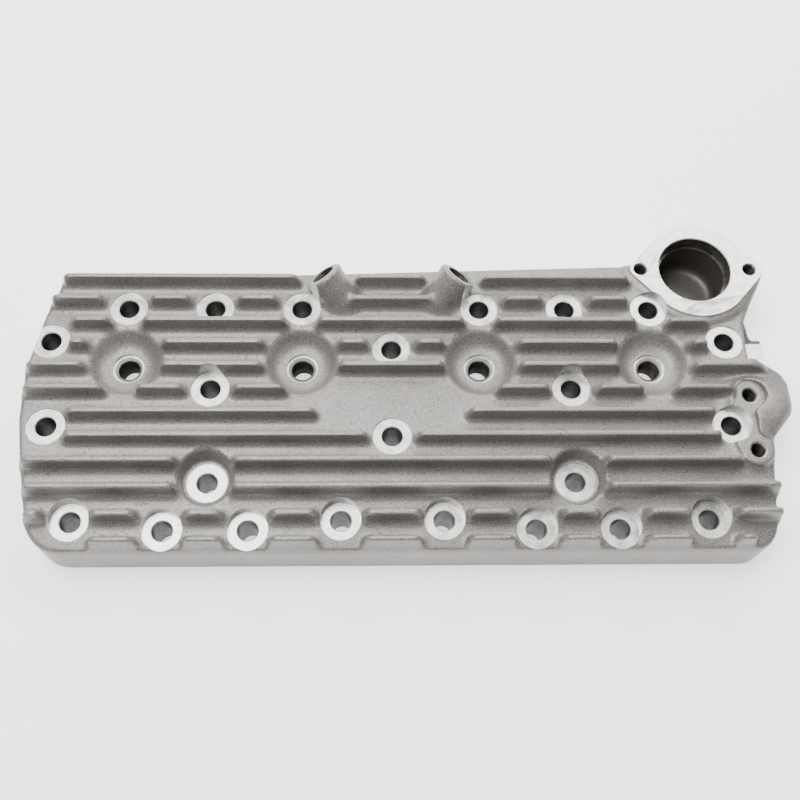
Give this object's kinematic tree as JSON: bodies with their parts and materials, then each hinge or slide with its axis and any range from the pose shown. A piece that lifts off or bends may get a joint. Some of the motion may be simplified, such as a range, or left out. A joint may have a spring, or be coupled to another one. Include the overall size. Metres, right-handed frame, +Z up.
{
  "type": "cylinder head",
  "caption": "Finned aluminium side-valve V8 cylinder head, one casting with stud bosses, plug wells, chambers and a top water outlet.",
  "frame": {"origin": "on the gasket face, at the centre of the stud pattern", "axes": "+X along the head towards the water-outlet end, +Y towards the plug and water-outlet side, +Z up out of the gasket face"},
  "size_m": [0.46, 0.2133, 0.0651],
  "materials": {
    "cast_aluminium": "sand-cast, with machined faces"
  },
  "bodies": {
    "root": {"cylinder_head": "cast_aluminium"}
  },
  "joints": []
}
